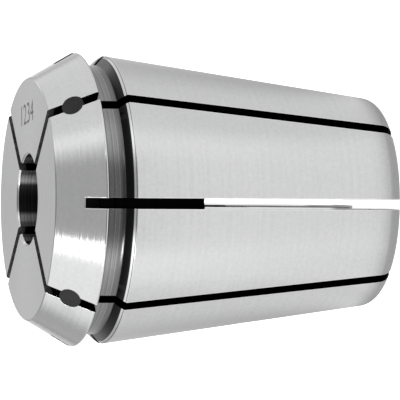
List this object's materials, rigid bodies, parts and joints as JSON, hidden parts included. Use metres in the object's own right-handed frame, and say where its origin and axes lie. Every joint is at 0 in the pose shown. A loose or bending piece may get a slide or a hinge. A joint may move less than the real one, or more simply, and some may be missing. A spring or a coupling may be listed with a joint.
{
  "type": "er collet",
  "caption": "Slotted steel clamping collet with a steep nose cone, an extraction groove and a long slow taper, a round bore that ends in a drive square, and rubber seal pins in its front slots.",
  "frame": {"origin": "centre of the small rear face, on which the collet stands", "axes": "+Z along the collet's axis from the rear face to the nose; +X and +Y through two of the slots that stop short of the front face, square to two flats of the drive square"},
  "size_m": [0.0326, 0.0326, 0.04],
  "materials": {
    "ground_steel": "fine ground and polished",
    "seal_rubber": "matte"
  },
  "bodies": {
    "root": {"collet_body": "ground_steel", "seal_pin_1": "seal_rubber", "seal_pin_2": "seal_rubber", "seal_pin_3": "seal_rubber", "seal_pin_4": "seal_rubber"}
  },
  "joints": []
}
